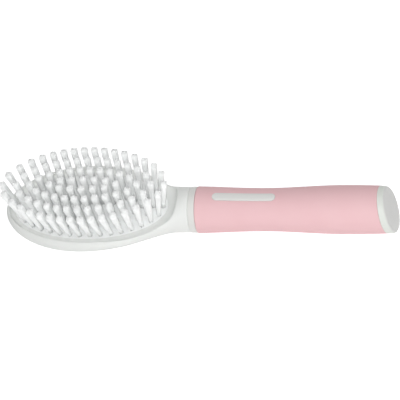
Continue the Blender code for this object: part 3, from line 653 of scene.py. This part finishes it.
def add_tuft(edit, along, across, chance):
    """A bundle of filaments, round in its hole, that flares to a squarish ragged end."""
    lean = tuft_direction(along, across)
    side_a = lean.cross(Vector((0.0, 1.0, 0.0))).normalized()
    side_b = lean.cross(side_a)
    foot = Vector((HEAD_CENTRE_X + along, across, FIELD_Z))
    add_core(edit, foot, lean, side_a, side_b)
    twist = chance.uniform(0.0, 2.0 * math.pi)
    places = [(spot, (index + chance.uniform(-FILAMENT_TURN, FILAMENT_TURN)) / count)
              for count, spot in FILAMENT_CIRCLES for index in range(count)]
    for spot, turn in places:
        angle = twist + 2.0 * math.pi * turn
        start = (side_a * math.cos(angle) + side_b * math.sin(angle)) * (spot * TUFT_RADIUS_ROOT)
        end_a, end_b = superellipse(TUFT_RADIUS_TIP, TUFT_RADIUS_TIP, angle, TUFT_TIP_POWER)
        end = (side_a * end_a + side_b * end_b) * spot
        bow = (end - start) * FILAMENT_BOW
        stray = (side_a * chance.uniform(-FILAMENT_STRAY, FILAMENT_STRAY)
                 + side_b * chance.uniform(-FILAMENT_STRAY, FILAMENT_STRAY))
        length = TUFT_LENGTH + chance.uniform(-TIP_RAGGEDNESS, TIP_RAGGEDNESS)
        root = foot - lean * TUFT_ROOT_DEPTH + start
        tip = foot + lean * length + end - bow
        add_filament(edit, root, tip, bow + stray)


def build_tufts():
    """Each ring of tufts as one piece, in the place of its CAD strands."""
    chance = random.Random(TUFT_SEED)
    for node, *ring in RINGS:
        edit = bmesh.new()
        for along, across in ring_places(*ring):
            add_tuft(edit, along, across, chance)
        dress(to_object(edit, node.replace("tuft_ring", "tufts")), nylon, "nylon", node)


def build_pad():
    """The plate that the tufts are stapled into, with a chamfered hole round each tuft."""
    edit = bmesh.new()
    rings = [oval_ring(FIELD_HALF_LENGTH, FIELD_HALF_WIDTH, PAD_BOTTOM_Z)]
    for angle in arc_steps(3):
        inward = PAD_EDGE * (1.0 - math.cos(angle))
        rise = PAD_EDGE * math.sin(angle)
        rings.append(oval_ring(FIELD_HALF_LENGTH - inward, FIELD_HALF_WIDTH - inward,
                               FIELD_Z - PAD_EDGE + rise))
    made = [add_ring(edit, ring) for ring in rings]
    for first, second in zip(made, made[1:]):
        bridge(edit, first, second)
    edit.faces.new(made[0])
    top_edges = [edit.edges.get(pair) for pair in zip(made[-1], made[-1][1:] + made[-1][:1])]
    hole_bottom_z = FIELD_Z - TUFT_ROOT_DEPTH - HOLE_SPARE
    hole_levels = ((HOLE_RADIUS + HOLE_CHAMFER, FIELD_Z), (HOLE_RADIUS, FIELD_Z - HOLE_CHAMFER),
                   (HOLE_RADIUS, hole_bottom_z))
    for _, *ring_shape in RINGS:
        for along, across in ring_places(*ring_shape):
            hole = []
            for radius, z in hole_levels:
                ring = []
                for side in range(HOLE_SIDES):
                    angle = 2.0 * math.pi * side / HOLE_SIDES
                    ring.append((HEAD_CENTRE_X + along + radius * math.cos(angle),
                                 across + radius * math.sin(angle), z))
                hole.append(add_ring(edit, ring))
            for first, second in zip(hole, hole[1:]):
                bridge(edit, first, second)
            edit.faces.new(hole[-1])
            top_edges += [edit.edges.get(pair) for pair in zip(hole[0], hole[0][1:] + hole[0][:1])]
    bmesh.ops.triangle_fill(edit, use_beauty=True, edges=top_edges, normal=(0.0, 0.0, 1.0))
    pad = to_object(edit, "bristle_pad")
    dress(pad, pad_white, "plate_plastic", "bristle_plate", sharp=30.0)


# Handle


def build_collar():
    """Narrow off-white ring between the neck and the sleeve."""
    radius = NECK_RADIUS + COLLAR_PROUD
    rings = [round_ring(COLLAR_FRONT_X, COLLAR_BORE)]
    for angle in arc_steps(4):
        rings.append(round_ring(COLLAR_FRONT_X + COLLAR_EDGE * (1.0 - math.cos(angle)),
                                radius - COLLAR_EDGE * (1.0 - math.sin(angle))))
    for angle in arc_steps(4):
        rings.append(round_ring(COLLAR_REAR_X - COLLAR_EDGE * (1.0 - math.sin(angle)),
                                radius - COLLAR_EDGE * (1.0 - math.cos(angle))))
    rings.append(round_ring(COLLAR_REAR_X, COLLAR_BORE))
    edit = bmesh.new()
    loft(edit, rings, close=True)
    dress(to_object(edit, "collar"), collar_white, "collar_plastic", "neck_collar", sharp=50.0)


def wrap(x, across, depth):
    """A point under the grip's surface, above the axis and this far across from its middle."""
    radius = grip_radius(x)
    angle = math.asin(across / radius)
    return (x, (radius - depth) * math.sin(angle), AXIS_Z + (radius - depth) * math.cos(angle))


def capsule_point(x, across, clearance):
    """The inlay's outline point nearest to a point outside it, as (x, across)."""
    radius = INLAY_HALF_WIDTH
    middle_x = min(max(x, INLAY_X[0] + radius), INLAY_X[1] - radius)
    away = math.hypot(x - middle_x, across)
    reach = (radius + clearance) / away
    return middle_x + (x - middle_x) * reach, across * reach


def sleeve_stations():
    """Places along the sleeve between its two rounded ends, and the patch's first and last."""
    patch_start = INLAY_X[0] - WINDOW_MARGIN
    patch_end = INLAY_X[1] + WINDOW_MARGIN
    lead = 6
    tail = 50
    front_x = SLEEVE_FRONT_X + SLEEVE_FRONT_EDGE
    rear_x = SLEEVE_REAR_X - SLEEVE_REAR_EDGE
    stations = [blend(front_x, patch_start, step / lead) for step in range(lead)]
    first = len(stations)
    stations += [blend(patch_start, patch_end, step / WINDOW_STATIONS) for step in range(WINDOW_STATIONS)]
    last = len(stations)
    stations += [blend(patch_end, rear_x, step / tail) for step in range(tail + 1)]
    return stations, first, last


def sleeve_skin(edit, depth, window_rings):
    """One surface of the sleeve at this depth, and its front, rear and window rings.

    The rings round the window are given as (clearance from the inlay's outline, drop in depth).
    """
    stations, first, last = sleeve_stations()
    rings = []
    for x in stations:
        tilt = SLEEVE_REAR_TILT * ease(x, SLEEVE_LEANS_X, SLEEVE_REAR_X - SLEEVE_REAR_EDGE)
        rings.append(add_ring(edit, round_ring(x, grip_radius(x) - depth, tilt)))
    half = WINDOW_COLUMNS
    for row in range(len(rings) - 1):
        for column in range(ROUND_SIDES):
            in_patch = first <= row < last and (column < half or column >= ROUND_SIDES - half)
            if not in_patch:
                following = (column + 1) % ROUND_SIDES
                edit.faces.new((rings[row][column], rings[row][following],
                                rings[row + 1][following], rings[row + 1][column]))
    border = [(row, -half) for row in range(first, last)]
    border += [(last, column) for column in range(-half, half)]
    border += [(row, half) for row in range(last, first, -1)]
    border += [(first, column) for column in range(half, -half, -1)]
    outer = [rings[row][column % ROUND_SIDES] for row, column in border]
    places = []
    for row, column in border:
        x = stations[row]
        places.append((x, grip_radius(x) * math.sin(2.0 * math.pi * column / ROUND_SIDES)))
    previous = outer
    first_clearance, first_drop = window_rings[0]
    for step in range(WINDOW_SPANS - 1, -1, -1):
        share = (step / WINDOW_SPANS) ** WINDOW_CROWDING
        ring = []
        for x, across in places:
            near_x, near_across = capsule_point(x, across, first_clearance)
            ring.append(wrap(blend(near_x, x, share), blend(near_across, across, share),
                             depth + first_drop))
        made = add_ring(edit, ring)
        bridge(edit, previous, made)
        previous = made
    for clearance, drop in window_rings[1:]:
        ring = [wrap(*capsule_point(x, across, clearance), depth + drop) for x, across in places]
        made = add_ring(edit, ring)
        bridge(edit, previous, made)
        previous = made
    return rings[0], rings[-1], previous


def build_sleeve():
    """Soft sleeve with rounded ends, a leaning rear edge and the inlay's window."""
    edit = bmesh.new()
    lip_rings = []
    for angle in arc_steps(4):
        lip_rings.append((INLAY_SEAM + WINDOW_LIP * (1.0 - math.sin(angle)),
                          WINDOW_LIP * (1.0 - math.cos(angle))))
    outer_front, outer_rear, outer_window = sleeve_skin(edit, 0.0, lip_rings)
    inner_front, inner_rear, inner_window = sleeve_skin(edit, SLEEVE_WALL, ((INLAY_SEAM, 0.0),))
    bridge(edit, outer_window, inner_window)
    previous = outer_front
    for angle in arc_steps(5)[1:]:
        x = SLEEVE_FRONT_X + SLEEVE_FRONT_EDGE * (1.0 - math.sin(angle))
        radius = grip_radius(SLEEVE_FRONT_X) - SLEEVE_FRONT_EDGE * (1.0 - math.cos(angle))
        made = add_ring(edit, round_ring(x, radius))
        bridge(edit, previous, made)
        previous = made
    bridge(edit, previous, inner_front)
    previous = outer_rear
    for angle in arc_steps(4)[1:]:
        x = SLEEVE_REAR_X - SLEEVE_REAR_EDGE * (1.0 - math.sin(angle))
        radius = grip_radius(SLEEVE_REAR_X) - SLEEVE_REAR_EDGE * (1.0 - math.cos(angle))
        made = add_ring(edit, round_ring(x, radius, SLEEVE_REAR_TILT))
        bridge(edit, previous, made)
        previous = made
    bridge(edit, previous, inner_rear)
    dress(to_object(edit, "grip"), pink_rubber, "soft_grip", "grip_sleeve", sharp=60.0)


def build_inlay():
    """Bare capsule set in the sleeve's window, crowned like the grip and rounded at its edge."""
    radius = INLAY_HALF_WIDTH
    arc = 20
    runs = 44
    profile = [(0.0, SLEEVE_WALL - SEAM)]
    for angle in arc_steps(8):
        profile.append((INLAY_CROWN * (1.0 - math.cos(angle)), -INLAY_PROUD * math.sin(angle)))
    profile += [(inset, -INLAY_PROUD) for inset in INLAY_INSETS]
    start_x = INLAY_X[0] + radius
    end_x = INLAY_X[1] - radius

    def outline(inset):
        """The capsule this far inside its edge, from one straight run round to the other."""
        reach = radius - inset
        points = [(blend(start_x, end_x, step / runs), -reach) for step in range(runs)]
        for step in range(arc):
            angle = -0.5 * math.pi + math.pi * step / arc
            points.append((end_x + reach * math.cos(angle), reach * math.sin(angle)))
        points += [(blend(end_x, start_x, step / runs), reach) for step in range(runs)]
        for step in range(arc):
            angle = 0.5 * math.pi + math.pi * step / arc
            points.append((start_x + reach * math.cos(angle), reach * math.sin(angle)))
        return points

    edit = bmesh.new()
    rings = [add_ring(edit, [wrap(x, y, depth) for x, y in outline(inset)]) for inset, depth in profile]
    for first, second in zip(rings, rings[1:]):
        bridge(edit, first, second)
    for ring in (rings[0], rings[-1]):
        lower = ring[:runs + 1]
        upper = ring[runs + arc:2 * runs + arc + 1][::-1]
        for index in range(runs):
            edit.faces.new((lower[index], lower[index + 1], upper[index + 1], upper[index]))
        edit.faces.new(ring[runs:runs + arc + 1])
        edit.faces.new(ring[2 * runs + arc:] + ring[:1])
    dress(to_object(edit, "inlay"), inlay_grey, "inlay_plastic", "grip_inlay", sharp=50.0)


def end_rounding(degrees):
    """A place on the handle's rounded end, from its flat at 0 to its side at 90, as (x, radius)."""
    angle = math.radians(degrees)
    x = END_FACE_X - END_ROUNDING * (1.0 - math.cos(angle))
    radius = END_RADIUS - END_ROUNDING * (1.0 - math.sin(angle))
    return x, radius


def build_cap():
    """Greenish-white ring at the end of the handle, with a seat for the slanted face."""
    seat_shares = (0.25, 0.6, 1.0)
    edge_steps = 6
    front_radius = grip_radius(CAP_FRONT_X) - CAP_SHY
    edge_start = FACE_SPLIT + FACE_SPLIT_SEAM
    _, seat_radius = end_rounding(edge_start)
    seat_x = END_FACE_X - FACE_DEPTH - FACE_SEAM
    rings = [round_ring(seat_x, seat_radius * share, END_FACE_TILT) for share in seat_shares]
    for step in range(edge_steps + 1):
        x, radius = end_rounding(blend(edge_start, 90.0, step / edge_steps))
        rings.append(round_ring(x, radius, END_FACE_TILT))
    side_steps = 8
    for step in range(1, side_steps):
        share = step / side_steps
        rings.append(round_ring(blend(END_FACE_X - END_ROUNDING, CAP_FRONT_X + CAP_FRONT_EDGE, share),
                                blend(END_RADIUS, front_radius, share),
                                blend(END_FACE_TILT, SLEEVE_REAR_TILT, share)))
    for angle in arc_steps(4):
        rings.append(round_ring(CAP_FRONT_X + CAP_FRONT_EDGE * (1.0 - math.sin(angle)),
                                front_radius - CAP_FRONT_EDGE * (1.0 - math.cos(angle)), SLEEVE_REAR_TILT))
    rings.append(round_ring(CAP_FRONT_X, PLUG_RADIUS, SLEEVE_REAR_TILT))
    rings.append(round_ring(CAP_FRONT_X - PLUG_LENGTH, PLUG_RADIUS))
    edit = bmesh.new()
    loft(edit, rings)
    dress(to_object(edit, "cap"), cap_green, "cap_plastic", "end_cap", sharp=50.0)


def build_end_face():
    """Bare grey disc in the cap's slanted end, which carries on the cap's rounding."""
    flat_shares = (0.3, 0.6, 0.85)
    edge_steps = 6
    flat_radius = END_RADIUS - END_ROUNDING
    rings = [round_ring(END_FACE_X, flat_radius * share, END_FACE_TILT) for share in flat_shares]
    for step in range(edge_steps + 1):
        x, radius = end_rounding(FACE_SPLIT * step / edge_steps)
        rings.append(round_ring(x, radius, END_FACE_TILT))
    _, disc_radius = end_rounding(FACE_SPLIT)
    rings.append(round_ring(END_FACE_X - FACE_DEPTH, disc_radius, END_FACE_TILT))
    edit = bmesh.new()
    loft(edit, rings)
    dress(to_object(edit, "end_face"), face_grey, "cap_plastic", "end_cap", sharp=40.0)


def colour_core():
    """The hidden tube keeps its own solid, in plain grey."""
    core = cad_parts["handle_core"]
    core.data.materials.clear()
    core.data.materials.append(core_grey)


build_head()
build_pad()
build_tufts()
build_collar()
build_sleeve()
build_inlay()
build_cap()
build_end_face()
colour_core()


# Stage, light and camera


def seen_directly(tree):
    """A socket that is 1 for rays from the camera and through gloss or clear material, else 0."""
    rays = tree.nodes.new("ShaderNodeLightPath")
    result = rays.outputs["Is Camera Ray"]
    for name in ("Is Glossy Ray", "Is Transmission Ray"):
        either = tree.nodes.new("ShaderNodeMath")
        either.operation = "MAXIMUM"
        tree.links.new(result, either.inputs[0])
        tree.links.new(rays.outputs[name], either.inputs[1])
        result = either.outputs[0]
    return result


def build_floor():
    """Pale floor that looks white where nothing shades it and keeps a faint shadow."""
    bpy.ops.mesh.primitive_plane_add(size=FLOOR_SIZE, location=(0.0, 0.0, -FLOOR_DROP))
    floor = bpy.context.object
    floor.name = "floor"
    material, shader = new_material("pale_floor", (0.9, 0.9, 0.9), 0.9)
    shader.inputs["Specular IOR Level"].default_value = 0.0
    tree = material.node_tree
    glow = tree.nodes.new("ShaderNodeEmission")
    glow.inputs["Strength"].default_value = FLOOR_GLOW
    lifted = tree.nodes.new("ShaderNodeAddShader")
    mix = tree.nodes.new("ShaderNodeMixShader")
    tree.links.new(shader.outputs[0], lifted.inputs[0])
    tree.links.new(glow.outputs[0], lifted.inputs[1])
    tree.links.new(seen_directly(tree), mix.inputs["Fac"])
    tree.links.new(shader.outputs[0], mix.inputs[1])
    tree.links.new(lifted.outputs[0], mix.inputs[2])
    tree.links.new(mix.outputs[0], tree.nodes["Material Output"].inputs["Surface"])
    floor.data.materials.append(material)


def build_world():
    """Even pale surroundings that show as white, also in gloss."""
    world = bpy.data.worlds.new("studio")
    world.use_nodes = True
    bpy.context.scene.world = world
    nodes = world.node_tree.nodes
    links = world.node_tree.links
    background = nodes["Background"]
    background.inputs["Color"].default_value = (1.0, 1.0, 1.0, 1.0)
    background.inputs["Strength"].default_value = WORLD_STRENGTH
    white = nodes.new("ShaderNodeBackground")
    white.inputs["Strength"].default_value = 1.0
    white.inputs["Color"].default_value = (1.0, 1.0, 1.0, 1.0)
    mix = nodes.new("ShaderNodeMixShader")
    links.new(seen_directly(world.node_tree), mix.inputs["Fac"])
    links.new(background.outputs[0], mix.inputs[1])
    links.new(white.outputs[0], mix.inputs[2])
    links.new(mix.outputs[0], nodes["World Output"].inputs["Surface"])


def add_softbox(name, place, size, watts):
    """A square area light at a place in metres, aimed at the middle of the brush."""
    data = bpy.data.lights.new(name, "AREA")
    data.size = size
    data.energy = watts
    lamp = bpy.data.objects.new(name, data)
    bpy.context.scene.collection.objects.link(lamp)
    lamp.location = place
    lamp.rotation_euler = (Vector(LIGHT_TARGET) - Vector(place)).to_track_quat("-Z", "Y").to_euler()


def build_camera():
    """Camera at the photograph's angle and distance."""
    data = bpy.data.cameras.new("camera")
    data.lens = LENS
    data.sensor_width = SENSOR_WIDTH
    data.clip_start = 0.01
    camera = bpy.data.objects.new("camera", data)
    bpy.context.scene.collection.objects.link(camera)
    turn = (Matrix.Rotation(math.radians(90.0 - VIEW_ELEVATION), 4, "X")
            @ Matrix.Rotation(math.radians(VIEW_AZIMUTH), 4, "Y")
            @ Matrix.Rotation(math.radians(VIEW_ROLL), 4, "Z"))
    place = Vector(VIEW_TARGET) + turn @ Vector((*VIEW_OFFSET, VIEW_DISTANCE))
    camera.matrix_world = Matrix.Translation(place * MM) @ turn
    bpy.context.scene.camera = camera


build_floor()
build_world()
add_softbox("key", KEY_PLACE, KEY_SIZE, KEY_POWER)
add_softbox("back", BACK_PLACE, BACK_SIZE, BACK_POWER)
add_softbox("fill", FILL_PLACE, FILL_SIZE, FILL_POWER)
add_softbox("end_light", END_LIGHT_PLACE, END_LIGHT_SIZE, END_LIGHT_POWER)
add_softbox("rear", REAR_PLACE, REAR_SIZE, REAR_POWER)
build_camera()
bpy.context.scene.view_settings.view_transform = "Standard"
